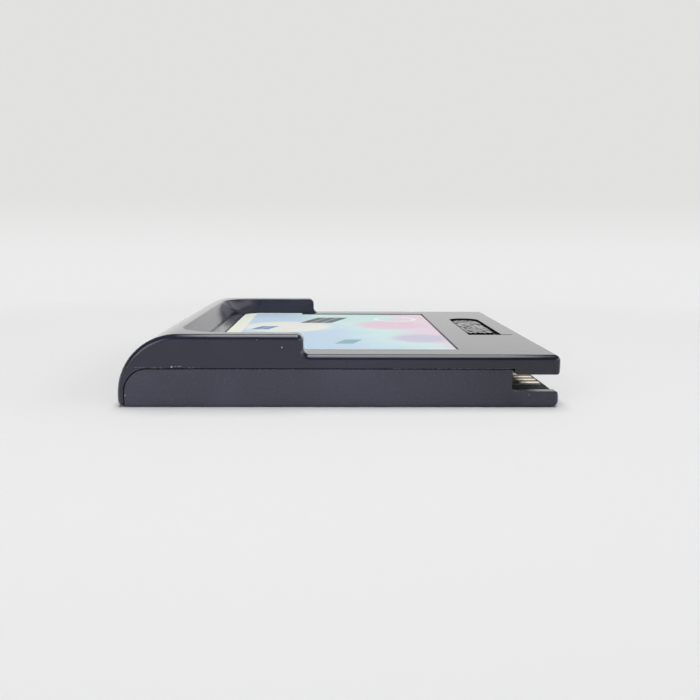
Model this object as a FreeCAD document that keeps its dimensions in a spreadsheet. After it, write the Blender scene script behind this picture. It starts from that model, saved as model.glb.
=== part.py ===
import FreeCAD, Part
import math
import os
import re
import Sketcher
from FreeCAD import Vector

# A handheld-console game cartridge lying on its back, label up, with the connector mouth towards +X.
# All sizes are millimetres. The origin is under the middle of the case, on the surface it rests on.
sizes = {
    # Case outline
    "shell_length": 67.0,
    "shell_width": 67.0,
    "grip_height": 11.05,
    "plate_height": 8.0,
    "seam_height": 5.9,
    "seam_gap": 0.1,
    "wall": 1.7,
    "edge_radius": 0.9,
    "seam_radius": 0.12,
    "brim_radius": 0.3,
    # Grip end: the raised rim and the hood that wraps down over the rear shell
    "grip_length": 28.05,
    "grip_foot": 1.85,
    "grip_skin": 1.6,
    "rear_foot": 2.2,
    "hood_thickness": 1.05,
    "rim_width": 3.2,
    "step_top_radius": 1.1,
    "step_base_radius": 1.0,
    "end_radius": 0.95,
    # Scoop between the rims, from the grip bar down to the label
    "grip_bar": 8.5,
    "scoop_corner": 7.0,
    "scoop_dip": 0.9,
    "scoop_rise": 1.05,
    "scoop_run": 1.75,
    "scoop_foot_corner": 5.8,
    "scoop_step": 0.3,
    "shelf_width": 2.65,
    # Label and its recess
    "label_recess": 0.3,
    "label_thickness": 0.15,
    "label_gap": 0.25,
    "label_corner": 4.0,
    "label_head": 12.6,
    "label_inset": 6.35,
    "label_setback": 14.65,
    # Thumb recess between the label and the connector mouth
    "thumb_setback": 4.1,
    "thumb_width": 6.0,
    "thumb_near": 9.3,
    "thumb_far": 18.4,
    "thumb_depth": 0.65,
    "thumb_tail": 1.85,
    "thumb_tail_width": 0.6,
    # Connector mouth
    "mouth_depth": 7.4,
    "lip_gap": 0.35,
    "lip_drop": 0.85,
    "lip_inset": 0.15,
    "lip_radius": 0.45,
    "lip_rib": 1.4,
    "mouth_wall": 1.2,
    "rear_setback": 0.15,
    "rear_lip_height": 2.5,
    "rear_lip_round": 0.5,
    "rear_lip_draft": 0.2,
    "rear_chamfer": 0.9,
    "rear_edge_radius": 0.4,
    "rear_corner_radius": 0.8,
    "mouth_floor": 0.8,
    # Insides of the shells
    "ceiling_rise": 0.3,
    "floor_thickness": 1.2,
    "lap_thickness": 0.6,
    "lap_height": 0.7,
    "lap_gap": 0.1,
    "lap_inset": 2.0,
    "rest_height": 0.35,
    "rest_width": 1.6,
    "rest_inset": 2.2,
    "peg_diameter": 2.4,
    "peg_rise": 0.7,
    "peg_inset": 5.5,
    "post_diameter": 3.0,
    "post_inset": 5.5,
    # Screw, its well in the rear shell and its boss in the front shell
    "tower_diameter": 8.4,
    "tower_height": 3.3,
    "tower_gap": 1.2,
    "well_diameter": 6.2,
    "well_depth": 2.1,
    "boss_diameter": 5.6,
    "boss_bite": 0.5,
    "screw_diameter": 2.5,
    "screw_clearance": 0.25,
    "screw_fit": 0.02,
    "screw_length": 3.6,
    "flange_diameter": 5.4,
    "flange_height": 0.6,
    "drive_diameter": 4.2,
    "drive_height": 0.9,
    "lobe_diameter": 1.1,
    # Circuit board and its edge contacts
    "board_thickness": 1.0,
    "board_length": 38.6,
    "board_setback": 0.9,
    "board_side_gap": 0.2,
    "board_bevel": 0.3,
    "board_air": 0.3,
    "contact_pitch": 2.54,
    "contact_width": 1.6,
    "contact_length": 8.55,
    "contact_setback": 0.7,
    "contact_margin": 4.3,
    "contact_thickness": 0.05,
    # Memory chip and its leads
    "rom_place": 20.0,
    "rom_width": 11.3,
    "rom_length": 20.6,
    "rom_height": 1.8,
    "rom_standoff": 0.15,
    "rom_draft": 8.0,
    "rom_mark": 1.6,
    "rom_mark_depth": 0.1,
    "lead_pitch": 1.27,
    "lead_margin": 0.7,
    "lead_width": 0.42,
    "lead_thickness": 0.2,
    "lead_reach": 1.5,
    "lead_shoulder": 0.45,
    "lead_slope": 0.25,
    # Chip capacitors
    "capacitor_spacing": 4.7,
    "capacitor_length": 2.0,
    "capacitor_width": 1.25,
    "capacitor_height": 0.85,
    "terminal_length": 0.4,
}

# Places worked out from the sizes
places = {
    "grip_end": "-shell_length / 2",
    "connector_end": "shell_length / 2",
    "side": "shell_width / 2",
    "inner_side": "side - wall",
    "grip_radius": "grip_height - grip_foot",
    "grip_centre": "grip_end + grip_radius",
    "hood_inner": "grip_end + hood_thickness",
    "hood_radius": "seam_height - rear_foot",
    "hood_centre": "hood_inner + hood_radius",
    "rim_step": "grip_end + grip_length",
    "step_rise": "grip_height - plate_height",
    "step_top": "min(step_top_radius; step_rise * 0.5)",
    "step_base": "min(step_base_radius; step_rise * 0.45)",
    "rim_inner": "side - rim_width",
    "ceiling": "seam_height + ceiling_rise",
    "label_floor": "plate_height - label_recess",
    "scoop_floor": "plate_height + scoop_step",
    "scoop_edge": "grip_end + grip_bar",
    "scoop_foot": "scoop_edge + scoop_run",
    "recess_end": "connector_end - label_setback",
    "label_start": "scoop_foot + shelf_width",
    "bed_start": "label_start - label_gap",
    "bed_corner": "label_corner + label_gap",
    "label_end": "recess_end - label_gap",
    "label_side": "side - label_inset",
    "label_head_side": "rim_inner - label_gap",
    "label_waist": "label_start + label_head",
    "bed_side": "label_side + label_gap",
    "bed_waist": "label_waist + label_gap",
    "core_start": "grip_end + grip_skin",
    "core_radius": "grip_radius - grip_skin",
    "core_turn": "scoop_edge - grip_skin",
    "core_foot": "scoop_foot - grip_skin",
    "core_top": "grip_foot + sqrt(core_radius ^ 2 - (grip_centre - core_turn) ^ 2)",
    "rear_wall_end": "connector_end - mouth_depth",
    "lip_start": "rear_wall_end + lip_gap",
    "lip_bottom": "seam_height - lip_drop",
    "lip_end": "connector_end - lip_inset",
    "mouth_wall_start": "lip_start - mouth_wall",
    "mouth_wall_foot": "board_top + board_air",
    "rear_left": "hood_inner + seam_gap",
    "rear_right": "connector_end - rear_setback",
    "rear_lip_top": "rear_right - rear_lip_draft",
    "rear_top": "seam_height - seam_gap",
    "rear_radius": "rear_top - rear_foot",
    "board_bottom": "floor_thickness + rest_height",
    "board_top": "board_bottom + board_thickness",
    "board_front": "connector_end - board_setback",
    "board_rear": "board_front - board_length",
    "board_side": "inner_side - board_side_gap",
    "contact_end": "board_front - contact_setback",
    "contact_start": "contact_end - contact_length",
    "contact_gaps": "floor(2 * (board_side - contact_margin) / contact_pitch)",
    "tower_place": "board_rear - tower_gap - tower_diameter / 2",
    "peg_place": "board_rear + peg_inset",
    "peg_side": "board_side - peg_inset",
    "post_place": "board_rear + post_inset",
    "post_side": "board_side - post_inset - peg_inset",
    "thumb_end": "connector_end - thumb_setback",
    "thumb_start": "thumb_end - thumb_width",
    "thumb_round": "thumb_width / 2",
    "rom_centre": "board_rear + rom_place",
    "rom_half": "rom_height / 2",
    "lead_level": "rom_standoff + rom_half",
    "lead_gaps": "floor((rom_length - 2 * lead_margin) / lead_pitch)",
    "capacitor_spread": "rom_length / 2 + capacitor_spacing",
}


# A formula in the sheet's own terms: places are opened up, and sizes get the sheet's name
def formula(text):
    def term(match):
        word = match.group(0)
        if word in places:
            return "(" + formula(places[word]) + ")"
        if word in sizes:
            return "Sizes." + word
        return word

    return re.sub(r"[a-z_]+", term, text)


doc = FreeCAD.newDocument("game_cartridge")
sheet = doc.addObject("Spreadsheet::Sheet", "Sizes")
for row, (alias, number) in enumerate(sizes.items(), 1):
    sheet.set("A%d" % row, alias)
    sheet.set("B%d" % row, str(number))
    sheet.setAlias("B%d" % row, alias)
doc.recompute()


# The value of a formula, used for a sketch's first guess and for finding edges
def value(text):
    return float(sheet.evalExpression(formula(text)))


def new_body(name):
    body = doc.addObject("PartDesign::Body", name)
    body.Label = name
    body.AllowCompound = True
    return body


def origin_part(body, role):
    return next(part for part in body.Origin.OriginFeatures if part.Role == role)


def new_sketch(body, name, plane, lift=None):
    sketch = body.newObject("Sketcher::SketchObject", name)
    sketch.AttachmentSupport = (origin_part(body, plane), [""])
    sketch.MapMode = "FlatFace"
    if lift is not None:
        sketch.setExpression("AttachmentOffset.Base.z", formula(lift))
    return sketch


def bind(sketch, constraint, text):
    index = sketch.addConstraint(constraint)
    sketch.setExpression("Constraints[%d]" % index, formula(text))


# The centre of the arc from start to end, which turns left where turn is 1 and right where it is -1
def arc_centre(start, end, radius, turn):
    chord = end - start
    rise = math.sqrt(max(radius ** 2 - chord.Length ** 2 / 4, 0.0))
    left = Vector(-chord.y, chord.x, 0) / chord.Length
    return (start + end) / 2 + left * rise * turn


# A closed loop through corners, each (x, y), or (x, y, radius, turn) where an arc leads to the next one
def draw_loop(sketch, corners):
    points = [Vector(value(corner[0]), value(corner[1]), 0) for corner in corners]
    runs = []
    for index, corner in enumerate(corners):
        start = points[index]
        end = points[(index + 1) % len(points)]
        if len(corner) == 2:
            geometry = sketch.addGeometry(Part.LineSegment(start, end))
            runs.append((geometry, 1, 2))
            continue
        radius = value(corner[2])
        turn = corner[3]
        centre = arc_centre(start, end, radius, turn)
        first, last = (start, end) if turn > 0 else (end, start)
        first_angle = math.atan2(first.y - centre.y, first.x - centre.x)
        last_angle = math.atan2(last.y - centre.y, last.x - centre.x)
        circle = Part.Circle(centre, Vector(0, 0, 1), radius)
        geometry = sketch.addGeometry(Part.ArcOfCircle(circle, first_angle, last_angle))
        runs.append((geometry, 1, 2) if turn > 0 else (geometry, 2, 1))
    for index, (geometry, head, tail) in enumerate(runs):
        following, next_head, next_tail = runs[(index + 1) % len(runs)]
        sketch.addConstraint(Sketcher.Constraint("Coincident", geometry, tail, following, next_head))
        point = points[index]
        bind(sketch, Sketcher.Constraint("DistanceX", -1, 1, geometry, head, point.x), corners[index][0])
        bind(sketch, Sketcher.Constraint("DistanceY", -1, 1, geometry, head, point.y), corners[index][1])
        if len(corners[index]) > 2:
            radius = value(corners[index][2])
            bind(sketch, Sketcher.Constraint("Radius", geometry, radius), corners[index][2])


def draw_box(sketch, left, right, low, high):
    draw_loop(sketch, [(left, low), (right, low), (right, high), (left, high)])


def draw_circle(sketch, x, y, diameter):
    centre = Vector(value(x), value(y), 0)
    circle = Part.Circle(centre, Vector(0, 0, 1), value(diameter) / 2)
    geometry = sketch.addGeometry(circle)
    bind(sketch, Sketcher.Constraint("DistanceX", -1, 1, geometry, 3, centre.x), x)
    bind(sketch, Sketcher.Constraint("DistanceY", -1, 1, geometry, 3, centre.y), y)
    bind(sketch, Sketcher.Constraint("Diameter", geometry, value(diameter)), diameter)


# Pads follow the sketch's normal and pockets go against it, unless reverse is set
def extrude(body, kind, sketch, name, length, both_ways=False, reverse=False):
    feature = body.newObject("PartDesign::" + kind, name)
    feature.Profile = sketch
    feature.SideType = "Symmetric" if both_ways else "One side"
    feature.Reversed = reverse
    feature.setExpression("Length", formula(length))
    sketch.Visibility = False
    doc.recompute()
    return feature


def edge_names(feature, wanted):
    edges = enumerate(feature.Shape.Edges, 1)
    return ["Edge%d" % number for number, edge in edges if wanted(edge)]


def soften(body, kind, feature, name, size, wanted):
    softened = body.newObject("PartDesign::" + kind, name)
    softened.Base = (feature, edge_names(feature, wanted))
    softened.setExpression("Radius" if kind == "Fillet" else "Size", formula(size))
    doc.recompute()
    return softened


def same(first, second):
    return abs(first - second) < 1e-4


# True where both ends of an edge have this coordinate
def edge_at(edge, axis, place):
    return all(same(getattr(vertex.Point, axis), place) for vertex in edge.Vertexes)


def pattern_along(body, feature, name, axis, length, gaps):
    pattern = body.newObject("PartDesign::LinearPattern", name)
    pattern.Originals = [feature]
    pattern.Direction = (origin_part(body, axis), [""])
    pattern.setExpression("Length", formula(length))
    pattern.setExpression("Occurrences", formula(gaps + " + 1"))
    body.Tip = pattern
    doc.recompute()
    return pattern


def mirror_whole(body, name, plane):
    mirror = body.newObject("PartDesign::Mirrored", name)
    mirror.TransformMode = "Whole shape"
    mirror.MirrorPlane = (origin_part(body, plane), [""])
    body.Tip = mirror
    doc.recompute()
    return mirror


def place_body(body, x, y, z):
    for axis, text in zip("xyz", (x, y, z)):
        body.setExpression(".Placement.Base." + axis, formula(text))


def on_side(edge):
    return edge_at(edge, "y", value("side")) or edge_at(edge, "y", value("-side"))


# A test for the long outer edge of a shell where the two shells meet
def on_seam(level):
    return lambda edge: on_side(edge) and edge_at(edge, "z", value(level))


# Front shell: a block with the grip's profile, in which the scoop, the step and the insides are cut
def front_shell():
    body = new_body("front_shell")
    outline = new_sketch(body, "front_outline", "XZ_Plane")
    draw_loop(outline, [
        ("hood_inner", "0"),
        ("hood_inner", "rear_foot", "hood_radius", -1),
        ("hood_centre", "seam_height"),
        ("lip_start", "seam_height"),
        ("lip_start", "lip_bottom"),
        ("lip_end", "lip_bottom"),
        ("lip_end", "seam_height"),
        ("connector_end", "seam_height"),
        ("connector_end", "grip_height"),
        ("grip_centre", "grip_height", "grip_radius", 1),
        ("grip_end", "grip_foot"),
        ("grip_end", "hood_thickness", "hood_thickness", 1),
    ])
    extrude(body, "Pad", outline, "front_block", "shell_width", both_ways=True)
    cut_scoop(body)
    step = cut_step(body)

    # One top edge a side is named, and the round runs on along the whole smooth outline
    def rim_edge(edge):
        return on_side(edge) and edge_at(edge, "z", value("grip_height"))

    rounded = soften(body, "Fillet", step, "outer_round", "edge_radius", rim_edge)

    def lip_edge(edge):
        at_end = edge_at(edge, "x", value("lip_end")) or edge_at(edge, "x", value("lip_start"))
        return at_end and edge_at(edge, "z", value("lip_bottom"))

    lipped = soften(body, "Fillet", rounded, "lip_round", "lip_radius", lip_edge)
    soften(body, "Fillet", lipped, "front_seam_round", "seam_radius", on_seam("seam_height"))
    cut_label_bed(body)
    cut_thumb_recess(body)
    hollow_front(body)
    return body


# The scoop's outline at one level: the rounded end, two sides, and an open end past the connector end
def scoop_outline(body, name, level, end, corner):
    sketch = new_sketch(body, name, "XY_Plane", level)
    past = "connector_end + wall"
    turn = end + " + " + corner
    draw_loop(sketch, [
        (end, corner + " - rim_inner", corner, 1),
        (turn, "-rim_inner"),
        (past, "-rim_inner"),
        (past, "rim_inner"),
        (turn, "rim_inner", corner, 1),
        (end, "rim_inner - " + corner),
    ])
    return sketch


# The scoop is lofted through three levels, so that its end sags while its sides stay upright
def cut_scoop(body):
    low = scoop_outline(body, "scoop_low", "scoop_floor", "scoop_foot", "scoop_foot_corner")
    middle = scoop_outline(
        body, "scoop_middle", "scoop_floor + scoop_rise", "scoop_edge + scoop_dip", "scoop_corner")
    high = scoop_outline(body, "scoop_high", "grip_height", "scoop_edge", "scoop_corner")
    doc.recompute()
    scoop = body.newObject("PartDesign::SubtractiveLoft", "scoop")
    scoop.Profile = low
    scoop.Sections = [middle, high]
    for sketch in (low, middle, high):
        sketch.Visibility = False
    doc.recompute()

    # The brim is the inner top edge of the rims and of the grip bar
    def brim_edge(edge):
        middle = edge.CenterOfMass
        inside = abs(middle.y) < value("rim_inner") + 0.01
        above = middle.z > value("grip_height - edge_radius")
        return inside and above and middle.x < value("connector_end") - 0.01 and middle.x > value("core_turn")

    soften(body, "Fillet", scoop, "brim_round", "brim_radius", brim_edge)


# Past the step the front drops to the plate, with a round at the step's top, its base and the end; a low
# step limits its own two rounds
def cut_step(body):
    outline = new_sketch(body, "step_outline", "XZ_Plane")
    draw_loop(outline, [
        ("rim_step - step_top", "grip_height", "step_top", -1),
        ("rim_step", "grip_height - step_top"),
        ("rim_step", "plate_height + step_base", "step_base", 1),
        ("rim_step + step_base", "plate_height"),
        ("connector_end - end_radius", "plate_height", "end_radius", -1),
        ("connector_end", "plate_height - end_radius"),
        ("connector_end + wall", "plate_height - end_radius"),
        ("connector_end + wall", "grip_height + wall"),
        ("rim_step - step_top", "grip_height + wall"),
    ])
    return extrude(body, "Pocket", outline, "rim_step", "shell_width + 2 * wall", both_ways=True)


# Below the scoop's foot lies a shelf, level with the plate, and in it the label's bed
def cut_label_bed(body):
    shelf = scoop_outline(body, "shelf_outline", "scoop_floor", "scoop_foot", "scoop_foot_corner")
    extrude(body, "Pocket", shelf, "scoop_shelf", "scoop_step")
    recess = new_sketch(body, "label_bed_outline", "XY_Plane", "plate_height")
    draw_label(recess, "bed_start", "bed_corner", "rim_inner", "bed_waist", "bed_side", "recess_end")
    extrude(body, "Pocket", recess, "label_bed", "label_recess")


# The label's outline: a wide head between the rims, rounded at the grip end, and a narrower body
def draw_label(sketch, start, corner, head, waist, flank, end):
    turn = start + " + " + corner
    draw_loop(sketch, [
        (start, corner + " - " + head, corner, 1),
        (turn, "-" + head),
        (waist, "-" + head),
        (waist, "-" + flank),
        (end, "-" + flank),
        (end, flank),
        (waist, flank),
        (waist, head),
        (turn, head, corner, 1),
        (start, head + " - " + corner),
    ])


# The thumb recess is square at the near end, round at the far end, and has a short tail to the mouth
def cut_thumb_recess(body):
    recess = new_sketch(body, "thumb_outline", "XY_Plane", "plate_height")
    draw_loop(recess, [
        ("thumb_start", "-thumb_near"),
        ("thumb_end + thumb_tail", "-thumb_near"),
        ("thumb_end + thumb_tail", "thumb_tail_width - thumb_near"),
        ("thumb_end", "thumb_tail_width - thumb_near"),
        ("thumb_end", "thumb_far - thumb_round", "thumb_round", 1),
        ("thumb_end - thumb_round", "thumb_far", "thumb_round", 1),
        ("thumb_start", "thumb_far - thumb_round"),
    ])
    extrude(body, "Pocket", recess, "thumb_recess", "thumb_depth")


# Inside of the front shell: hollow, lip core, mouth wall, screw boss, board posts and lap grooves
def hollow_front(body):
    hollow = new_sketch(body, "front_hollow_outline", "XZ_Plane")
    draw_loop(hollow, [
        ("core_start", "0"),
        ("mouth_wall_start", "0"),
        ("mouth_wall_start", "ceiling"),
        ("core_foot", "ceiling"),
        ("core_turn", "core_top", "core_radius", 1),
        ("core_start", "grip_foot"),
    ])
    extrude(body, "Pocket", hollow, "front_hollow", "2 * inner_side", both_ways=True)

    core = new_sketch(body, "lip_core_outline", "XY_Plane", "lip_bottom")
    draw_box(core, "lip_start + lip_rib", "connector_end - lip_rib", "-inner_side", "inner_side")
    extrude(body, "Pocket", core, "lip_core", "ceiling - lip_bottom", reverse=True)

    wall = new_sketch(body, "mouth_wall_outline", "XY_Plane", "mouth_wall_foot")
    draw_box(wall, "mouth_wall_start", "lip_start", "lap_gap - inner_side", "inner_side - lap_gap")
    extrude(body, "Pad", wall, "mouth_wall", "ceiling - mouth_wall_foot")

    boss = new_sketch(body, "boss_outline", "XY_Plane", "tower_height")
    draw_circle(boss, "tower_place", "0", "boss_diameter")
    extrude(body, "Pad", boss, "screw_boss", "ceiling - tower_height")
    pilot = new_sketch(body, "pilot_outline", "XY_Plane", "tower_height")
    draw_circle(pilot, "tower_place", "0", "screw_diameter + 2 * screw_fit")
    extrude(body, "Pocket", pilot, "pilot_hole", "ceiling - tower_height + boss_bite", reverse=True)

    posts = new_sketch(body, "post_outline", "XY_Plane", "board_top")
    draw_circle(posts, "post_place", "post_side", "post_diameter")
    draw_circle(posts, "post_place", "-post_side", "post_diameter")
    extrude(body, "Pad", posts, "board_posts", "ceiling - board_top")

    grooves = new_sketch(body, "groove_outline", "XY_Plane", "seam_height")
    start = "hood_centre + lap_inset - lap_gap"
    end = "rear_wall_end - lap_inset + lap_gap"
    near = "inner_side - lap_gap"
    far = "inner_side + lap_thickness + lap_gap"
    draw_box(grooves, start, end, near, far)
    draw_box(grooves, start, end, "-(%s)" % far, "-(%s)" % near)
    extrude(body, "Pocket", grooves, "lap_grooves", "lap_height", reverse=True)


# The rear lip's two corners are rounded, as seen from above
def cut_lip_corners(body):
    corners = new_sketch(body, "lip_corner_outline", "XY_Plane")
    start = "rear_right - rear_corner_radius"
    turn = "side - rear_corner_radius"
    past = "connector_end + wall"
    draw_loop(corners, [
        ("rear_right", turn, "rear_corner_radius", 1),
        (start, "side"),
        (start, "side + wall"),
        (past, "side + wall"),
        (past, turn),
    ])
    draw_loop(corners, [
        (start, "-side", "rear_corner_radius", 1),
        ("rear_right", "-(%s)" % turn),
        (past, "-(%s)" % turn),
        (past, "-side - wall"),
        (start, "-side - wall"),
    ])
    extrude(body, "Pocket", corners, "lip_corners", "rear_top", reverse=True)


# Rear shell: a tray whose grip end tucks under the hood and whose connector end is a low lip
def rear_shell():
    body = new_body("rear_shell")
    outline = new_sketch(body, "rear_outline", "XZ_Plane")
    draw_loop(outline, [
        ("rear_left", "0"),
        ("rear_right - rear_chamfer", "0"),
        ("rear_right", "rear_chamfer"),
        ("rear_lip_top", "rear_lip_height - rear_lip_round", "rear_lip_round", 1),
        ("rear_lip_top - rear_lip_round", "rear_lip_height"),
        ("rear_wall_end", "rear_lip_height"),
        ("rear_wall_end", "rear_top"),
        ("hood_centre", "rear_top", "rear_radius", 1),
        ("rear_left", "rear_foot"),
    ])
    block = extrude(body, "Pad", outline, "rear_block", "shell_width", both_ways=True)

    def bottom_edge(edge):
        return on_side(edge) and edge_at(edge, "z", 0)

    softened = soften(body, "Fillet", block, "bottom_round", "rear_edge_radius", bottom_edge)

    soften(body, "Fillet", softened, "rear_seam_round", "seam_radius", on_seam("rear_top"))
    cut_lip_corners(body)

    hollow = new_sketch(body, "rear_hollow_outline", "XZ_Plane")
    draw_loop(hollow, [
        ("rear_left + wall", "floor_thickness"),
        ("rear_wall_end", "floor_thickness"),
        ("rear_wall_end", "mouth_floor"),
        ("connector_end + wall", "mouth_floor"),
        ("connector_end + wall", "grip_height"),
        ("rear_left + wall", "grip_height"),
    ])
    extrude(body, "Pocket", hollow, "rear_hollow", "2 * inner_side", both_ways=True)

    rests = new_sketch(body, "rest_outline", "XY_Plane", "floor_thickness")
    near = "board_side - rest_inset - rest_width"
    far = "board_side - rest_inset"
    start = "board_rear"
    end = "contact_start - rest_width"
    draw_box(rests, start, end, near, far)
    draw_box(rests, start, end, "-(%s)" % far, "-(%s)" % near)
    extrude(body, "Pad", rests, "board_rests", "rest_height")

    pegs = new_sketch(body, "peg_outline", "XY_Plane", "floor_thickness")
    draw_circle(pegs, "peg_place", "peg_side", "peg_diameter")
    draw_circle(pegs, "peg_place", "-peg_side", "peg_diameter")
    extrude(body, "Pad", pegs, "board_pegs", "board_top - floor_thickness + peg_rise")

    tower = new_sketch(body, "tower_outline", "XY_Plane", "floor_thickness")
    draw_circle(tower, "tower_place", "0", "tower_diameter")
    extrude(body, "Pad", tower, "screw_tower", "tower_height - floor_thickness")
    well = new_sketch(body, "well_outline", "XY_Plane")
    draw_circle(well, "tower_place", "0", "well_diameter")
    extrude(body, "Pocket", well, "screw_well", "well_depth", reverse=True)
    passage = new_sketch(body, "passage_outline", "XY_Plane")
    draw_circle(passage, "tower_place", "0", "screw_diameter + 2 * screw_clearance")
    extrude(body, "Pocket", passage, "screw_passage", "tower_height", reverse=True)

    tongues = new_sketch(body, "tongue_outline", "XY_Plane", "rear_top")
    start = "hood_centre + lap_inset"
    end = "rear_wall_end - lap_inset"
    draw_box(tongues, start, end, "inner_side", "inner_side + lap_thickness")
    draw_box(tongues, start, end, "-inner_side - lap_thickness", "-inner_side")
    extrude(body, "Pad", tongues, "lap_tongues", "lap_height")
    return body


# Paper label, which lies in its bed with a narrow gap all round
def front_label():
    body = new_body("front_label")
    outline = new_sketch(body, "label_outline", "XY_Plane", "label_floor")
    draw_label(
        outline, "label_start", "label_corner", "label_head_side", "label_waist", "label_side", "label_end")
    extrude(body, "Pad", outline, "label_sheet", "label_thickness")
    return body


def circuit_board():
    body = new_body("circuit_board")
    outline = new_sketch(body, "board_outline", "XY_Plane", "board_bottom")
    draw_box(outline, "board_rear", "board_front", "-board_side", "board_side")
    hole = "peg_diameter + 2 * lap_gap"
    draw_circle(outline, "peg_place", "peg_side", hole)
    draw_circle(outline, "peg_place", "-peg_side", hole)
    plate = extrude(body, "Pad", outline, "board_plate", "board_thickness")

    def leading_edge(edge):
        at_end = edge_at(edge, "x", value("board_front"))
        level = edge_at(edge, "z", value("board_top")) or edge_at(edge, "z", value("board_bottom"))
        return at_end and level

    soften(body, "Chamfer", plate, "leading_bevel", "board_bevel", leading_edge)
    return body


# A row of contact strips, drawn from its first strip at the -Y end
def contact_row(name, level, gaps):
    body = new_body(name)
    strip = new_sketch(body, name + "_strip", "XY_Plane", level)
    first = "-(%s) * contact_pitch / 2" % gaps
    draw_box(strip, "contact_start", "contact_end", first + " - contact_width / 2", first + " + contact_width / 2")
    pad = extrude(body, "Pad", strip, name + "_pad", "contact_thickness")
    pattern_along(body, pad, name + "_pattern", "Y_Axis", "(%s) * contact_pitch" % gaps, gaps)
    return body


# Memory chip, drafted away from its lead plane above and below, with a dimple at its first lead
def rom_package():
    body = new_body("rom_package")
    outline = new_sketch(body, "rom_outline", "XY_Plane", "lead_level")
    draw_box(outline, "-rom_width / 2", "rom_width / 2", "-rom_length / 2", "rom_length / 2")
    block = extrude(body, "Pad", outline, "rom_block", "rom_half")
    block.SideType = "Two sides"
    block.setExpression("Length2", formula("rom_half"))
    block.setExpression("TaperAngle", formula("-rom_draft"))
    block.setExpression("TaperAngle2", formula("-rom_draft"))
    doc.recompute()
    mark = new_sketch(body, "rom_mark_outline", "XY_Plane", "rom_standoff + rom_height")
    draw_circle(mark, "rom_mark - rom_width / 2 + rom_half", "rom_mark - rom_length / 2 + rom_half", "rom_mark")
    extrude(body, "Pocket", mark, "rom_dimple", "rom_mark_depth")
    place_body(body, "rom_centre", "0", "board_top")
    return body


# Gull-wing leads: one profile from the chip's side down to its foot, repeated along and across
def rom_leads():
    body = new_body("rom_leads")
    first = "-lead_gaps * lead_pitch / 2"
    wing = new_sketch(body, "lead_wing", "XZ_Plane", "-(%s)" % first)
    root = "rom_width / 2"
    knee = root + " + lead_shoulder"
    foot = knee + " + lead_slope"
    toe = root + " + lead_reach"
    draw_loop(wing, [
        (root, "lead_level - lead_thickness / 2"),
        (knee + " - lead_thickness", "lead_level - lead_thickness / 2"),
        (foot + " - lead_thickness", "0"),
        (toe, "0"),
        (toe, "lead_thickness"),
        (foot, "lead_thickness"),
        (knee, "lead_level + lead_thickness / 2"),
        (root, "lead_level + lead_thickness / 2"),
    ])
    lead = extrude(body, "Pad", wing, "first_lead", "lead_width", both_ways=True)
    pattern_along(body, lead, "lead_row", "Y_Axis", "lead_gaps * lead_pitch", "lead_gaps")
    mirror_whole(body, "lead_rows", "YZ_Plane")
    place_body(body, "rom_centre", "0", "board_top")
    return body


# Two chip capacitors, one each side of the memory, each between a pair of metal end caps
def capacitor_bodies():
    body = new_body("capacitor_bodies")
    outline = new_sketch(body, "ceramic_outline", "XY_Plane")
    half = "capacitor_length / 2 - terminal_length"
    low = "capacitor_spread - capacitor_width / 2"
    high = "capacitor_spread + capacitor_width / 2"
    draw_box(outline, "-(%s)" % half, half, low, high)
    extrude(body, "Pad", outline, "ceramic_block", "capacitor_height")
    mirror_whole(body, "ceramic_pair", "XZ_Plane")
    place_body(body, "rom_centre", "0", "board_top")
    return body


def capacitor_terminals():
    body = new_body("capacitor_terminals")
    outline = new_sketch(body, "terminal_outline", "XY_Plane")
    low = "capacitor_spread - capacitor_width / 2"
    high = "capacitor_spread + capacitor_width / 2"
    near = "capacitor_length / 2 - terminal_length"
    far = "capacitor_length / 2"
    draw_box(outline, near, far, low, high)
    draw_box(outline, "-" + far, "-(%s)" % near, low, high)
    extrude(body, "Pad", outline, "terminal_blocks", "capacitor_height")
    mirror_whole(body, "terminal_pairs", "XZ_Plane")
    place_body(body, "rom_centre", "0", "board_top")
    return body


# Security screw: a flange seated in the well, a drive head with six scallops, and a plain shank
def case_screw():
    body = new_body("case_screw")
    outline = new_sketch(body, "screw_outline", "XZ_Plane")
    head = "-flange_height - drive_height"
    point = "screw_diameter / 4"
    draw_loop(outline, [
        ("0", head),
        ("drive_diameter / 2", head),
        ("drive_diameter / 2", "-flange_height"),
        ("flange_diameter / 2", "-flange_height"),
        ("flange_diameter / 2", "0"),
        ("screw_diameter / 2", "0"),
        ("screw_diameter / 2", "screw_length - " + point),
        (point, "screw_length"),
        ("0", "screw_length"),
    ])
    turned = body.newObject("PartDesign::Revolution", "turned_screw")
    turned.Profile = outline
    turned.ReferenceAxis = (outline, ["V_Axis"])
    turned.Angle = 360
    outline.Visibility = False
    doc.recompute()
    scallop = new_sketch(body, "scallop_outline", "XY_Plane", "-flange_height")
    draw_circle(scallop, "drive_diameter / 2", "0", "lobe_diameter")
    groove = extrude(body, "Pocket", scallop, "first_scallop", "drive_height")
    lobes = body.newObject("PartDesign::PolarPattern", "scallops")
    lobes.Originals = [groove]
    lobes.Axis = (origin_part(body, "Z_Axis"), [""])
    lobes.Angle = 360
    lobes.Occurrences = 6
    body.Tip = lobes
    doc.recompute()
    place_body(body, "tower_place", "0", "well_depth")
    return body


pieces = [
    front_shell(),
    rear_shell(),
    front_label(),
    circuit_board(),
    contact_row("upper_contacts", "board_top", "contact_gaps"),
    contact_row("lower_contacts", "board_bottom - contact_thickness", "contact_gaps + 1"),
    rom_package(),
    rom_leads(),
    capacitor_bodies(),
    capacitor_terminals(),
    case_screw(),
]
doc.recompute()

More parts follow.
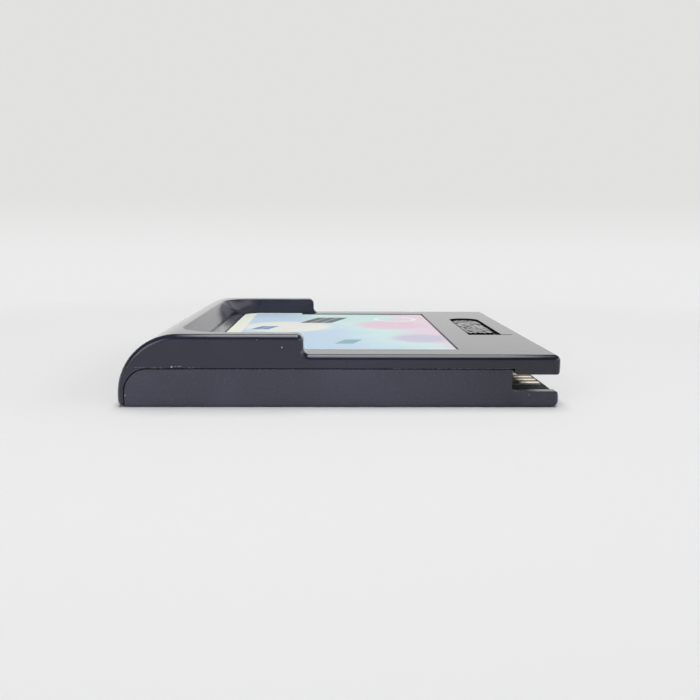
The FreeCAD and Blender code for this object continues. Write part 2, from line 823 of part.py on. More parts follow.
for item in doc.Objects:
    if "Invalid" in item.State or "Error" in item.State:
        raise RuntimeError("%s did not build: %s" % (item.Name, item.State))
os.makedirs("parts", exist_ok=True)
sets = ("upper_contacts", "lower_contacts", "rom_leads", "capacitor_bodies", "capacitor_terminals")
for piece in pieces:
    if piece.Shape.isNull() or not piece.Shape.isValid() or not piece.Shape.Solids:
        raise RuntimeError("%s has no valid solid" % piece.Label)
    if piece.Label not in sets and len(piece.Shape.Solids) != 1:
        raise RuntimeError("%s came apart into %d solids" % (piece.Label, len(piece.Shape.Solids)))
    piece.Shape.exportStep("parts/%s.step" % piece.Label)
    print("%s: %d solids, %.1f mm3" % (piece.Label, len(piece.Shape.Solids), piece.Shape.Volume))
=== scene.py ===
import math
import random

import bmesh
import bpy
from mathutils import Matrix, Vector


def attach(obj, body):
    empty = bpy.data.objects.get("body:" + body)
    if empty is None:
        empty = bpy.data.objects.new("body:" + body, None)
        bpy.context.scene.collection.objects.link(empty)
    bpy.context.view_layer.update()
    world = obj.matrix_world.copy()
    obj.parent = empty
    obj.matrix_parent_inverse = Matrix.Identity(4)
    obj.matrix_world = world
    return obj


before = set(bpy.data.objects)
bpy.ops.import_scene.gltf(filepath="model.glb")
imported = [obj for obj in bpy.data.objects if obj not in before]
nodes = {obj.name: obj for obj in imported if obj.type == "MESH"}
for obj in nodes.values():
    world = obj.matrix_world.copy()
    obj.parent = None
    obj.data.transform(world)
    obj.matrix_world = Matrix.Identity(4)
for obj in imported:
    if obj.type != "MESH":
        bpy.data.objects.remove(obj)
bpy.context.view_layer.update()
scene = bpy.context.scene
scene.view_settings.view_transform = "Standard"
mm = 0.001
print("frame loaded,", len(nodes), "nodes")


# Camera at the photograph's place and angle
cameraSettings = {
    "place": (-0.00093, -0.15366, 0.02645),
    "pitch": 8.372,   # degrees down
    "yaw": 1.177,     # degrees towards the connector end
    "roll": 0.280,
    "lens": 41.755,
    "sensor": 36.0,
    "clip": (0.005, 20),
}


def aimCamera(settings):
    pitch = math.radians(settings["pitch"])
    yaw = math.radians(settings["yaw"])
    roll = math.radians(settings["roll"])
    forward = Vector((math.sin(yaw) * math.cos(pitch), math.cos(yaw) * math.cos(pitch), -math.sin(pitch)))
    level = Vector((math.cos(yaw), -math.sin(yaw), 0))
    upright = level.cross(forward)
    right = level * math.cos(roll) + upright * math.sin(roll)
    up = upright * math.cos(roll) - level * math.sin(roll)
    data = bpy.data.cameras.new("camera")
    data.lens = settings["lens"]
    data.sensor_width = settings["sensor"]
    data.clip_start, data.clip_end = settings["clip"]
    camera = bpy.data.objects.new("camera", data)
    turn = Matrix((right, up, -forward)).transposed().to_4x4()
    camera.matrix_world = Matrix.Translation(settings["place"]) @ turn
    scene.collection.objects.link(camera)
    scene.camera = camera


aimCamera(cameraSettings)
print("camera placed")


# Node helpers: a number or colour is set on the socket, another socket is linked to it
def feed(tree, socket, source):
    if isinstance(source, bpy.types.NodeSocket):
        tree.links.new(source, socket)
    else:
        socket.default_value = source


def startMaterial(name):
    material = bpy.data.materials.new(name)
    material.use_nodes = True
    tree = material.node_tree
    tree.nodes.clear()
    output = tree.nodes.new("ShaderNodeOutputMaterial")
    shader = tree.nodes.new("ShaderNodeBsdfPrincipled")
    tree.links.new(shader.outputs["BSDF"], output.inputs["Surface"])
    return material, tree, shader


def calc(tree, operation, first, second=0.0, clamp=False):
    node = tree.nodes.new("ShaderNodeMath")
    node.operation = operation
    node.use_clamp = clamp
    feed(tree, node.inputs[0], first)
    feed(tree, node.inputs[1], second)
    return node.outputs[0]


# A Mix node has sockets for each type of data, so its colours are found by number
mixSockets = {"factor": 0, "under": 6, "over": 7, "result": 2}


def tint(tree, factor, under, over):
    node = tree.nodes.new("ShaderNodeMix")
    node.data_type = "RGBA"
    feed(tree, node.inputs[mixSockets["factor"]], factor)
    feed(tree, node.inputs[mixSockets["under"]], under)
    feed(tree, node.inputs[mixSockets["over"]], over)
    return node.outputs[mixSockets["result"]]


def ramp(tree, value, low, high, start=0.0, end=1.0):
    node = tree.nodes.new("ShaderNodeMapRange")
    node.interpolation_type = "SMOOTHSTEP"
    feed(tree, node.inputs["Value"], value)
    for name, number in (("From Min", low), ("From Max", high), ("To Min", start), ("To Max", end)):
        node.inputs[name].default_value = number
    return node.outputs["Result"]


# A ramp of width soft, centred on one value
def edgeRamp(tree, value, edge, soft, start=0.0, end=1.0):
    return ramp(tree, value, edge - soft / 2, edge + soft / 2, start, end)


# Object coordinates in millimetres: the point, and its x, y and z
def pointInMm(tree):
    place = tree.nodes.new("ShaderNodeTexCoord")
    scaled = tree.nodes.new("ShaderNodeVectorMath")
    scaled.operation = "SCALE"
    scaled.inputs["Scale"].default_value = 1 / mm
    tree.links.new(place.outputs["Object"], scaled.inputs[0])
    apart = tree.nodes.new("ShaderNodeSeparateXYZ")
    tree.links.new(scaled.outputs[0], apart.inputs[0])
    return scaled.outputs[0], apart.outputs[0], apart.outputs[1], apart.outputs[2]


def noise(tree, point, scale, detail=2.0, stretch=(1, 1, 1)):
    mapping = tree.nodes.new("ShaderNodeMapping")
    mapping.inputs["Scale"].default_value = stretch
    tree.links.new(point, mapping.inputs["Vector"])
    node = tree.nodes.new("ShaderNodeTexNoise")
    node.inputs["Scale"].default_value = scale
    node.inputs["Detail"].default_value = detail
    tree.links.new(mapping.outputs[0], node.inputs["Vector"])
    return node.outputs[0]


def bump(tree, height, strength, distance, under=None):
    node = tree.nodes.new("ShaderNodeBump")
    node.inputs["Strength"].default_value = strength
    node.inputs["Distance"].default_value = distance
    tree.links.new(height, node.inputs["Height"])
    if under:
        tree.links.new(under, node.inputs["Normal"])
    return node.outputs[0]


def awayFrom(tree, x, y, centre):
    aside = calc(tree, "SUBTRACT", x, centre[0])
    along = calc(tree, "SUBTRACT", y, centre[1])
    return aside, along


# Masks in the plane of two coordinates, 1 inside and soft at the edge
def discMask(tree, x, y, centre, radius, soft):
    aside, along = awayFrom(tree, x, y, centre)
    squares = calc(tree, "ADD", calc(tree, "MULTIPLY", aside, aside), calc(tree, "MULTIPLY", along, along))
    reach = calc(tree, "SQRT", squares)
    return edgeRamp(tree, reach, radius, soft, 1.0, 0.0)


def ringMask(tree, x, y, centre, radius, width, soft):
    outer = discMask(tree, x, y, centre, radius, soft)
    inner = discMask(tree, x, y, centre, radius - width, soft)
    return calc(tree, "SUBTRACT", outer, inner, True)


def boxMask(tree, x, y, centre, half, soft, slant=0.0):
    aside, along = awayFrom(tree, x, y, centre)
    if slant:
        aside = calc(tree, "SUBTRACT", aside, calc(tree, "MULTIPLY", along, slant))
    over = calc(tree, "SUBTRACT", calc(tree, "ABSOLUTE", aside), half[0])
    past = calc(tree, "SUBTRACT", calc(tree, "ABSOLUTE", along), half[1])
    return edgeRamp(tree, calc(tree, "MAXIMUM", over, past), 0.0, soft, 1.0, 0.0)


def strongest(tree, masks):
    most = masks[0]
    for mask in masks[1:]:
        most = calc(tree, "MAXIMUM", most, mask)
    return most


def dress(nodeName, material):
    node = nodes[nodeName]
    node.data.materials.clear()
    node.data.materials.append(material)


# Floor and backdrop: one sheet of pale paper, swept up behind the object
sweepSettings = {
    "level": -0.00002,   # a hair under the back face, so that the two don't coincide
    "halfWidth": 2.5,
    "front": -1.8,
    "bendStart": 0.34,
    "bendRadius": 0.26,
    "bendSteps": 24,
    "height": 0.42,
    "paper": (0.80, 0.80, 0.80, 1),
    "near": (0.74, 0.735, 0.725, 1),   # what camera and gloss see away from the object: towards the camera,
    "far": (0.835, 0.835, 0.835, 1),   # behind the object,
    "high": (0.755, 0.755, 0.745, 1),  # and up the backdrop
    "nearRun": (-0.125, -0.055),
    "highRun": (0.0, 0.06),
    "fade": (0.075, 0.20),             # metres from the object over which it takes over from plain paper
}


def makeSweep(settings):
    sheet = bmesh.new()
    left = sheet.verts.new((-settings["halfWidth"], settings["front"], settings["level"]))
    right = sheet.verts.new((settings["halfWidth"], settings["front"], settings["level"]))
    edge = sheet.edges.new((left, right))
    floor = bmesh.ops.extrude_edge_only(sheet, edges=[edge])["geom"]
    back = [part for part in floor if isinstance(part, bmesh.types.BMVert)]
    run = settings["bendStart"] - settings["front"]
    bmesh.ops.translate(sheet, verts=back, vec=(0, run, 0))
    rear = [part for part in floor if isinstance(part, bmesh.types.BMEdge) and set(part.verts) == set(back)]
    centre = (0, settings["bendStart"], settings["level"] + settings["bendRadius"])
    turned = bmesh.ops.spin(
        sheet, geom=rear + back, cent=centre, axis=(1, 0, 0), angle=math.pi / 2,
        steps=settings["bendSteps"], use_duplicate=False)
    top = [part for part in turned["geom_last"] if isinstance(part, bmesh.types.BMEdge)]
    wall = bmesh.ops.extrude_edge_only(sheet, edges=top)["geom"]
    raised = [part for part in wall if isinstance(part, bmesh.types.BMVert)]
    bmesh.ops.translate(sheet, verts=raised, vec=(0, 0, settings["height"] - settings["bendRadius"]))
    bmesh.ops.recalc_face_normals(sheet, faces=sheet.faces)
    mesh = bpy.data.meshes.new("paperSweep")
    sheet.to_mesh(mesh)
    sheet.free()
    mesh.shade_smooth()
    sweep = bpy.data.objects.new("paperSweep", mesh)
    scene.collection.objects.link(sweep)
    return sweep


def sweepPaper(settings):
    material = bpy.data.materials.new("sweepPaper")
    material.use_nodes = True
    tree = material.node_tree
    tree.nodes.clear()
    output = tree.nodes.new("ShaderNodeOutputMaterial")
    paper = tree.nodes.new("ShaderNodeBsdfDiffuse")
    paper.inputs["Color"].default_value = settings["paper"]
    glow = tree.nodes.new("ShaderNodeEmission")
    path = tree.nodes.new("ShaderNodeLightPath")
    rays = ("Is Camera Ray", "Is Glossy Ray", "Is Transmission Ray")
    seen = strongest(tree, [path.outputs[ray] for ray in rays])
    place = tree.nodes.new("ShaderNodeTexCoord")
    apart = tree.nodes.new("ShaderNodeSeparateXYZ")
    tree.links.new(place.outputs["Object"], apart.inputs[0])
    colour = tint(tree, ramp(tree, apart.outputs[1], *settings["nearRun"]), settings["near"], settings["far"])
    colour = tint(tree, ramp(tree, apart.outputs[2], *settings["highRun"]), colour, settings["high"])
    tree.links.new(colour, glow.inputs["Color"])
    reach = tree.nodes.new("ShaderNodeVectorMath")
    reach.operation = "LENGTH"
    tree.links.new(place.outputs["Object"], reach.inputs[0])
    away = ramp(tree, reach.outputs["Value"], *settings["fade"])
    blend = tree.nodes.new("ShaderNodeMixShader")
    tree.links.new(calc(tree, "MULTIPLY", seen, away), blend.inputs[0])
    tree.links.new(paper.outputs[0], blend.inputs[1])
    tree.links.new(glow.outputs[0], blend.inputs[2])
    tree.links.new(blend.outputs[0], output.inputs["Surface"])
    return material


sweep = makeSweep(sweepSettings)
sweep.data.materials.append(sweepPaper(sweepSettings))
print("backdrop made")


# Light: a dim room with a pale horizon, brighter low at the right,
# a long softbox overhead and a weak one at the left
lightSettings = {
    "horizon": (0.80, 0.80, 0.80, 1),
    "ceiling": (0.08, 0.08, 0.09, 1),
    "climb": (0.06, 0.36),
    "right": (1.8, 1.8, 1.8, 1),
    "rightRun": (0.22, 0.55),
    "rightFoot": (0.08, 0.20),
    "rightHead": (0.40, 0.60),
    "seen": (0.80, 0.80, 0.79, 1),
    "boxes": {
        "topBox": {
            "place": (0.025, -0.01, 0.55), "toward": (0.025, -0.01, 0.0),
            "size": (0.29, 0.64), "power": 2.78,
        },
        "leftBox": {
            "place": (-0.30, -0.40, 0.20), "toward": (0.0, 0.0, 0.0),
            "size": (0.25, 0.25), "power": 0.50,
        },
    },
}


def lightRoom(settings):
    world = bpy.data.worlds.new("room")
    scene.world = world
    world.use_nodes = True
    tree = world.node_tree
    tree.nodes.clear()
    output = tree.nodes.new("ShaderNodeOutputWorld")
    background = tree.nodes.new("ShaderNodeBackground")
    path = tree.nodes.new("ShaderNodeLightPath")
    direction = tree.nodes.new("ShaderNodeTexCoord")
    apart = tree.nodes.new("ShaderNodeSeparateXYZ")
    tree.links.new(direction.outputs["Generated"], apart.inputs[0])
    climb = ramp(tree, apart.outputs[2], *settings["climb"])
    colour = tint(tree, climb, settings["horizon"], settings["ceiling"])
    foot = ramp(tree, apart.outputs[2], *settings["rightFoot"])
    head = ramp(tree, apart.outputs[2], *settings["rightHead"], 1.0, 0.0)
    aside = ramp(tree, apart.outputs[0], *settings["rightRun"])
    bright = calc(tree, "MULTIPLY", calc(tree, "MULTIPLY", foot, head), aside)
    colour = tint(tree, bright, colour, settings["right"])
    colour = tint(tree, path.outputs["Is Camera Ray"], colour, settings["seen"])
    tree.links.new(colour, background.inputs["Color"])
    tree.links.new(background.outputs[0], output.inputs["Surface"])
    for name, box in settings["boxes"].items():
        data = bpy.data.lights.new(name, "AREA")
        data.shape = "RECTANGLE"
        data.size, data.size_y = box["size"]
        data.energy = box["power"]
        lamp = bpy.data.objects.new(name, data)
        place = Vector(box["place"])
        back = place - Vector(box["toward"])
        lamp.matrix_world = Matrix.Translation(place) @ back.to_track_quat("Z", "Y").to_matrix().to_4x4()
        scene.collection.objects.link(lamp)


lightRoom(lightSettings)
print("lights set")


# Case plastic: satin and finely textured, with painted light that pales it towards the grip end, pale nicks
# and rubs on the near side, and a painted highlight along the seam
plasticSettings = {
    "front": {
        "deep": (0.0060, 0.0065, 0.0120, 1),
        "worn": (0.0215, 0.0232, 0.0450, 1),
        "roughness": (0.13, 0.19),
    },
    # The rear shell's paler colour is partly its own tone and partly painted light, for how the two shells'
    # drafted sides catch the light differently
    "rear": {
        "deep": (0.0110, 0.0115, 0.0210, 1),
        "worn": (0.0510, 0.0505, 0.0850, 1),
        "roughness": (0.20, 0.28),
    },
    "cloudScale": 0.07,
    "cloudDetail": 3.0,
    "cloudRun": (0.35, 0.65),
    "cloudShare": 0.3,
    "paintedLightShare": 0.7,
    "baseIor": 1.30,
    "skin": 0.62,              # the smooth moulded skin over the satin body
    "skinRoughness": 0.12,
    "paintedLightRun": (-5.0, 33.0),   # x over which the painted light fades, from the grip end lit from the left to the mouth
    "grainScale": 4.2,
    "grainRun": (0.3, 0.7),
    "grainStrength": 0.035,
    "grainDistance": 0.00004,
    "waveScale": 0.35,
    "waveStrength": 0.03,
    "waveDistance": 0.0005,
    "nearSide": -33.3,
    "nearSoft": 0.1,
    "raggedScale": 2.6,
    "raggedDetail": 4.0,
    "raggedRun": (0.40, 0.60),
    "rubAndSheenSoft": 0.05,
    "spotSoft": 0.08,
    "markColour": (0.42, 0.42, 0.45, 1),
    "scuffAndSheenColour": (0.16, 0.16, 0.175, 1),
    "dentColour": (0.004, 0.004, 0.006, 1),
    "specks": [   # x, z, radius and strength of pale nicks on the near side
        (-8.64, 9.13, 0.10, 1.0),
        (-12.40, 10.27, 0.07, 0.4),
        (-32.20, 1.80, 0.10, 0.8),
        (28.67, 1.95, 0.12, 0.16),
        (-25.11, 6.16, 0.13, 1.0),
    ],
    "dents": [(1.10, 6.94, 0.14, 1.0)],
    "scuffsAndSeamSheen": [   # middle x, z, half length and half height of pale marks along the seam, partly rubs and partly a painted highlight on the seam edge
        (-27.15, 5.99, 1.05, 0.06),
        (-24.15, 6.22, 0.55, 0.08),
        (-21.85, 6.00, 0.95, 0.05),
        (17.0, 5.94, 9.0, 0.03),
        (-30.7, 6.05, 1.6, 0.025),
    ],
}


def casePlastic(name, settings, shell):
    material, tree, shader = startMaterial(name)
    point, x, y, z = pointInMm(tree)
    cloud = noise(tree, point, settings["cloudScale"], settings["cloudDetail"])
    # Painted light: the colour runs paler towards the grip end and darker towards the mouth, standing in for
    # light falling from the left
    paintedLight = ramp(tree, x, *settings["paintedLightRun"], 1.0, 0.0)
    paintedLight = calc(tree, "MULTIPLY", paintedLight, settings["paintedLightShare"])
    cloudy = ramp(tree, cloud, *settings["cloudRun"], 0.0, settings["cloudShare"])
    colour = tint(tree, calc(tree, "ADD", paintedLight, cloudy), shell["deep"], shell["worn"])
    near = edgeRamp(tree, y, settings["nearSide"], settings["nearSoft"], 1.0, 0.0)
    torn = noise(tree, point, settings["raggedScale"], settings["raggedDetail"])
    ragged = ramp(tree, torn, *settings["raggedRun"])
    # Pale marks along the seam: partly rubs, partly a painted highlight on the seam edge
    rubsAndSheen = strongest(tree, [
        boxMask(tree, x, z, (middle, level), (length, height), settings["rubAndSheenSoft"])
        for middle, level, length, height in settings["scuffsAndSeamSheen"]
    ])
    rubsAndSheen = calc(tree, "MULTIPLY", calc(tree, "MULTIPLY", rubsAndSheen, ragged), near)
    colour = tint(tree, rubsAndSheen, colour, settings["scuffAndSheenColour"])
    for marks, paint in (("specks", "markColour"), ("dents", "dentColour")):
        spots = []
        for across, level, radius, strength in settings[marks]:
            disc = discMask(tree, x, z, (across, level), radius, settings["spotSoft"])
            spots.append(calc(tree, "MULTIPLY", disc, strength))
        marked = calc(tree, "MULTIPLY", strongest(tree, spots), near)
        colour = tint(tree, marked, colour, settings[paint])
    tree.links.new(colour, shader.inputs["Base Color"])
    grain = noise(tree, point, settings["grainScale"])
    rough = ramp(tree, grain, *settings["grainRun"], *shell["roughness"])
    tree.links.new(rough, shader.inputs["Roughness"])
    swell = noise(tree, point, settings["waveScale"])
    wave = bump(tree, swell, settings["waveStrength"], settings["waveDistance"])
    fine = bump(tree, grain, settings["grainStrength"], settings["grainDistance"], wave)
    tree.links.new(fine, shader.inputs["Normal"])
    shader.inputs["IOR"].default_value = settings["baseIor"]
    shader.inputs["Coat Weight"].default_value = settings["skin"]
    shader.inputs["Coat Roughness"].default_value = settings["skinRoughness"]
    return material


frontPlastic = casePlastic("frontPlastic", plasticSettings, plasticSettings["front"])
rearPlastic = casePlastic("rearPlastic", plasticSettings, plasticSettings["rear"])
dress("front_shell", frontPlastic)
dress("rear_shell", rearPlastic)
print("case plastic done")


# Label print: a cream edge at the grip end and a soft pastel field with plain discs, a ring and bars
labelSettings = {
    "cream": (0.84, 0.86, 0.74, 1),
    "sky": (0.50, 0.66, 0.80, 1),
    "mint": (0.60, 0.80, 0.78, 1),
    "rose": (0.78, 0.62, 0.71, 1),
    "fieldTilt": 0.35,         # the field runs along x and, by this share, along y
    "driftScale": 0.06,
    "driftReach": 22.0,
    "mintRun": (6.0, 20.0),
    "roseRun": (17.0, 30.0),
    "panel": {"middle": (1.2, -2.0), "half": (19.2, 30.3)},
    "printSoft": 0.2,
    "roughness": (0.40, 0.50),
    "dotScale": 9.0,
    "dotDetail": 1.0,
    "dotRun": (0.35, 0.65),
    "dotShare": 0.08,
    "dotColour": (0.9, 0.9, 0.88, 1),
    "fibreScale": 1.6,
    "fibreDetail": 4.0,
    "fibreRun": (0.3, 0.7),
    "fibreStrength": 0.06,
    "fibreDistance": 0.00003,
    # Kind, colour, middle x and y, and then in millimetres the radius and softness of a disc,
    # the radius and width of a ring, or the half sizes and number of bars
    "shapes": [
        ("disc", (0.80, 0.81, 0.74, 1), (-10.0, 4.0), 8.5, 3.0),
        ("disc", (0.54, 0.78, 0.75, 1), (4.5, 20.0), 8.0, 5.0),
        ("disc", (0.76, 0.56, 0.66, 1), (10.5, 7.0), 6.5, 4.0),
        ("disc", (0.56, 0.53, 0.69, 1), (14.5, -13.0), 5.0, 4.0),
        ("ring", (0.84, 0.84, 0.82, 1), (12.0, 17.5), 4.6, 0.9),
        ("bars", (0.045, 0.05, 0.065, 1), (-5.0, 15.5), (1.0, 5.0), 3),
        ("bars", (0.08, 0.20, 0.46, 1), (-15.0, 2.0), (0.8, 2.6), 2),
        ("bars", (0.16, 0.38, 0.44, 1), (0.5, -17.5), (0.35, 2.6), 4),
    ],
    "barStep": 2.2,            # in half widths of a bar
    "barSlant": 0.35,
    "barSoft": 0.15,
}


def labelPrint(settings):
    material, tree, shader = startMaterial("labelPrint")
    point, x, y = pointInMm(tree)[:3]
    drift = noise(tree, point, settings["driftScale"])
    field = calc(tree, "ADD", calc(tree, "MULTIPLY", y, settings["fieldTilt"]), x)
    field = calc(tree, "ADD", field, calc(tree, "MULTIPLY", drift, settings["driftReach"]))
    colour = tint(tree, ramp(tree, field, *settings["mintRun"]), settings["sky"], settings["mint"])
    colour = tint(tree, ramp(tree, field, *settings["roseRun"]), colour, settings["rose"])
    for kind, paint, middle, size, extra in settings["shapes"]:
        if kind == "disc":
            mask = discMask(tree, x, y, middle, size, extra)
            colour = tint(tree, mask, colour, paint)
        elif kind == "ring":
            mask = ringMask(tree, x, y, middle, size, extra, settings["printSoft"])
            colour = tint(tree, mask, colour, paint)
        else:
            for step in range(extra):
                place = (middle[0] + step * settings["barStep"] * size[0], middle[1])
                mask = boxMask(tree, x, y, place, size, settings["barSoft"], settings["barSlant"])
                colour = tint(tree, mask, colour, paint)
    panel = settings["panel"]
    inside = boxMask(tree, x, y, panel["middle"], panel["half"], settings["printSoft"])
    colour = tint(tree, inside, settings["cream"], colour)
    dots = noise(tree, point, settings["dotScale"], settings["dotDetail"])
    dotted = ramp(tree, dots, *settings["dotRun"], 0.0, settings["dotShare"])
    colour = tint(tree, dotted, colour, settings["dotColour"])
    tree.links.new(colour, shader.inputs["Base Color"])
    fibre = noise(tree, point, settings["fibreScale"], settings["fibreDetail"])
    rough = ramp(tree, fibre, *settings["fibreRun"], *settings["roughness"])
    tree.links.new(rough, shader.inputs["Roughness"])
    raised = bump(tree, fibre, settings["fibreStrength"], settings["fibreDistance"])
    tree.links.new(raised, shader.inputs["Normal"])
    return material


dress("front_label", labelPrint(labelSettings))
print("label printed")


# Circuit board: green mask over copper traces, brown laminate between the contacts,
# and a pale strip beside them, with painted shade on the bevelled leading edge
boardSettings = {
    "mask": (0.012, 0.050, 0.026, 1),
    "trace": (0.020, 0.085, 0.042, 1),
    "margin": (0.010, 0.016, 0.013, 1),
    "laminate": (0.075, 0.048, 0.030, 1),
    "strip": (0.42, 0.42, 0.40, 1),
    # Painted shade: the dark colour of the board's bevelled leading edge
    "edge": (0.018, 0.018, 0.014, 1),
    "shade": (0.0, 0.0, 0.0, 1),
    "tracePitch": 2.54,
    "traceHalf": 0.45,
    "traceRun": (4.0, 6.0),        # x over which the traces begin
    "traceStrength": 0.4,
    "contactsFrom": 23.2,
    "contactsWithin": 27.6,
    "lineSoft": 0.1,
    "stripWithin": (27.75, 28.45),
    "stripMiddle": 24.0,
    "stripHalf": 7.8,
    "stripSoft": 0.08,
    "bevelShadeFrom": 32.3,
    "bevelShadeSoft": 0.06,
    "weaveScale": 1.4,
    "weaveDetail": 3.0,
    "weaveRun": (0.3, 0.7),
    "weaveShare": 0.25,
    "weaveStrength": 0.1,
    "bumpDistance": 0.00003,
    "roughness": (0.50, 0.62),
}


def boardLaminate(settings):
    material, tree, shader = startMaterial("boardLaminate")
    point, x, y = pointInMm(tree)[:3]
    across = calc(tree, "PINGPONG", y, settings["tracePitch"] / 2)
    trace = edgeRamp(tree, across, settings["traceHalf"], settings["lineSoft"], 1.0, 0.0)
    trace = calc(tree, "MULTIPLY", trace, ramp(tree, x, *settings["traceRun"]))
    colour = tint(tree, trace, settings["mask"], settings["trace"])
    aside = calc(tree, "ABSOLUTE", y)
    bank = edgeRamp(tree, x, settings["contactsFrom"], settings["lineSoft"])
    within = edgeRamp(tree, aside, settings["contactsWithin"], settings["lineSoft"], 1.0, 0.0)
    colour = tint(tree, bank, colour, settings["margin"])
    colour = tint(tree, calc(tree, "MULTIPLY", bank, within), colour, settings["laminate"])
    low, high = settings["stripWithin"]
    middle = ((low + high) / 2, settings["stripMiddle"])
    half = ((high - low) / 2, settings["stripHalf"])
    strip = boxMask(tree, aside, x, middle, half, settings["stripSoft"])
    colour = tint(tree, strip, colour, settings["strip"])
    weave = noise(tree, point, settings["weaveScale"], settings["weaveDetail"])
    woven = ramp(tree, weave, *settings["weaveRun"], 0.0, settings["weaveShare"])
    colour = tint(tree, woven, colour, settings["shade"])
    # Painted shade on the bevelled leading edge of the board
    bevelShade = edgeRamp(tree, x, settings["bevelShadeFrom"], settings["bevelShadeSoft"])
    colour = tint(tree, bevelShade, colour, settings["edge"])
    tree.links.new(colour, shader.inputs["Base Color"])
    rough = ramp(tree, weave, *settings["weaveRun"], *settings["roughness"])
    tree.links.new(rough, shader.inputs["Roughness"])
    raised = bump(tree, trace, settings["traceStrength"], settings["bumpDistance"])
    fine = bump(tree, weave, settings["weaveStrength"], settings["bumpDistance"], raised)
    tree.links.new(fine, shader.inputs["Normal"])
    return material


dress("circuit_board", boardLaminate(boardSettings))


# Metals: plated contacts rubbed along their length, tinned leads and a zinc-plated screw
metalSettings = {
    "rubDetail": 4.0,
    "rubRun": (0.3, 0.7),
    "bumpDistance": 0.00002,
    "contactGold": {
        "bright": (0.98, 0.87, 0.68, 1), "dull": (0.92, 0.76, 0.52, 1),
        "roughness": (0.06, 0.12), "scale": 1.2, "stretch": (0.12, 5.0, 1.0), "bump": 0.10,
    },
    "tinnedMetal": {
        "bright": (0.74, 0.74, 0.73, 1), "dull": (0.55, 0.55, 0.54, 1),
        "roughness": (0.28, 0.45), "scale": 3.0, "stretch": (1.0, 1.0, 1.0), "bump": 0.12,
    },
    "screwZinc": {
        "bright": (0.66, 0.65, 0.61, 1), "dull": (0.46, 0.45, 0.42, 1),
        "roughness": (0.25, 0.45), "scale": 2.2, "stretch": (1.0, 1.0, 0.3), "bump": 0.10,
    },
}


def platedMetal(name, settings):
    material, tree, shader = startMaterial(name)
    metal = settings[name]
    point = pointInMm(tree)[0]
    rub = noise(tree, point, metal["scale"], settings["rubDetail"], metal["stretch"])
    colour = tint(tree, ramp(tree, rub, *settings["rubRun"]), metal["bright"], metal["dull"])
    tree.links.new(colour, shader.inputs["Base Color"])
    rough = ramp(tree, rub, *settings["rubRun"], *metal["roughness"])
    tree.links.new(rough, shader.inputs["Roughness"])
    tree.links.new(bump(tree, rub, metal["bump"], settings["bumpDistance"]), shader.inputs["Normal"])
    shader.inputs["Metallic"].default_value = 1.0
    return material


contactGold = platedMetal("contactGold", metalSettings)
tinnedMetal = platedMetal("tinnedMetal", metalSettings)
dress("upper_contacts", contactGold)
dress("lower_contacts", contactGold)
dress("rom_leads", tinnedMetal)
dress("capacitor_terminals", tinnedMetal)
dress("case_screw", platedMetal("screwZinc", metalSettings))


# Moulded and fired pieces sealed inside
innerSettings = {
    "speckleDetail": 3.0,
    "colourRun": (0.35, 0.65),
    "roughRun": (0.3, 0.7),
    "bumpDistance": 0.00003,
    "chipEpoxy": {
        "first": (0.012, 0.012, 0.013, 1), "second": (0.022, 0.022, 0.024, 1),
        "roughness": (0.48, 0.62), "scale": 6.0, "bump": 0.3,
    },
    "firedCeramic": {
        "first": (0.30, 0.20, 0.11, 1), "second": (0.42, 0.30, 0.18, 1),
        "roughness": (0.42, 0.58), "scale": 5.0, "bump": 0.2,
    },
}


def speckledSolid(name, settings):
    material, tree, shader = startMaterial(name)
    solid = settings[name]
    point = pointInMm(tree)[0]
    speckle = noise(tree, point, solid["scale"], settings["speckleDetail"])
    colour = tint(tree, ramp(tree, speckle, *settings["colourRun"]), solid["first"], solid["second"])
    tree.links.new(colour, shader.inputs["Base Color"])
    rough = ramp(tree, speckle, *settings["roughRun"], *solid["roughness"])
    tree.links.new(rough, shader.inputs["Roughness"])
    tree.links.new(bump(tree, speckle, solid["bump"], settings["bumpDistance"]), shader.inputs["Normal"])
    return material


dress("rom_package", speckledSolid("chipEpoxy", innerSettings))
dress("capacitor_bodies", speckledSolid("firedCeramic", innerSettings))
print("board, metals and inner pieces done")


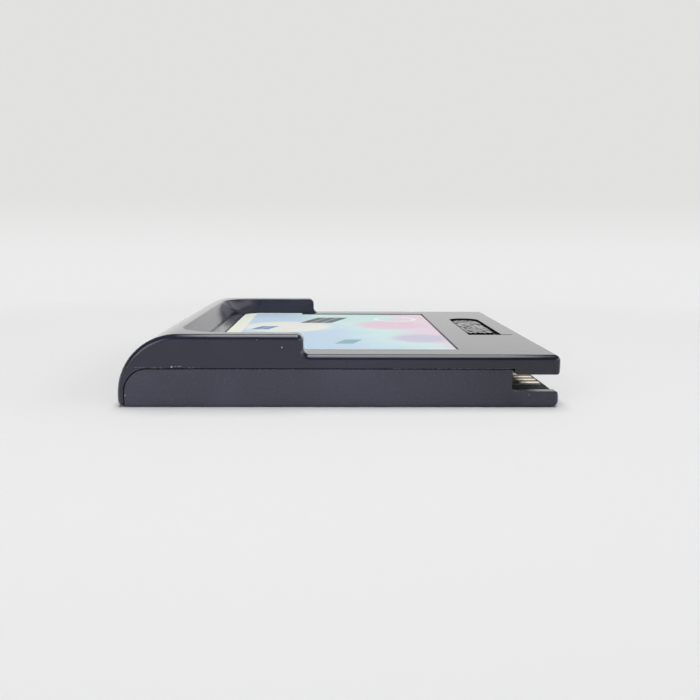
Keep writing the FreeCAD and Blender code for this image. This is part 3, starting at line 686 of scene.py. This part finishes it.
# Thumb recess: blunt diamonds of uneven height stand close together on its floor
knurlSettings = {
    "start": 23.4,          # the recess's sides in x
    "end": 29.4,
    "near": -4.6,           # where the diamonds begin, and the recess's round end, in y
    "far": 18.4,
    "floor": 7.35,
    "sunk": 0.03,
    "heights": (0.34, 0.46),
    "stepAcross": 0.9,
    "stepAlong": 0.9,
    "foot": (0.44, 0.88),   # half width and half length of a diamond
    "topShare": 0.95,
    "margin": 0.12,
    "seed": 7,
}


def makeKnurl(settings):
    knurl = bmesh.new()
    chance = random.Random(settings["seed"])
    halfAcross, halfAlong = settings["foot"]
    recessRadius = (settings["end"] - settings["start"]) / 2
    roundMiddle = Vector((settings["start"] + recessRadius, settings["far"] - recessRadius))
    reach = recessRadius - settings["margin"]
    rows = int((settings["far"] - settings["near"]) / settings["stepAlong"])
    columns = int(recessRadius / settings["stepAcross"]) + 1
    stretch = Matrix.Diagonal((halfAcross, halfAlong, 1.0, 1.0))
    for row in range(rows + 1):
        y = settings["near"] + halfAlong + row * settings["stepAlong"]
        past = max(y + halfAlong - roundMiddle.y, 0.0)
        for column in range(-columns, columns + 1):
            aside = (column + 0.5 * (row % 2)) * settings["stepAcross"]
            if math.hypot(abs(aside) + halfAcross, past) > reach:
                continue
            depth = settings["sunk"] + chance.uniform(*settings["heights"])
            level = settings["floor"] - settings["sunk"] + depth / 2
            place = Matrix.Translation((roundMiddle.x + aside, y, level))
            bmesh.ops.create_cone(
                knurl, cap_ends=True, segments=4, radius1=1.0, radius2=settings["topShare"],
                depth=depth, matrix=place @ stretch)
    bmesh.ops.scale(knurl, vec=(mm, mm, mm), verts=knurl.verts)
    bmesh.ops.recalc_face_normals(knurl, faces=knurl.faces)
    mesh = bpy.data.meshes.new("thumbKnurl")
    knurl.to_mesh(mesh)
    knurl.free()
    mesh.materials.append(frontPlastic)
    piece = bpy.data.objects.new("thumbKnurl", mesh)
    scene.collection.objects.link(piece)
    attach(piece, "root")


makeKnurl(knurlSettings)
print("thumb knurl made")
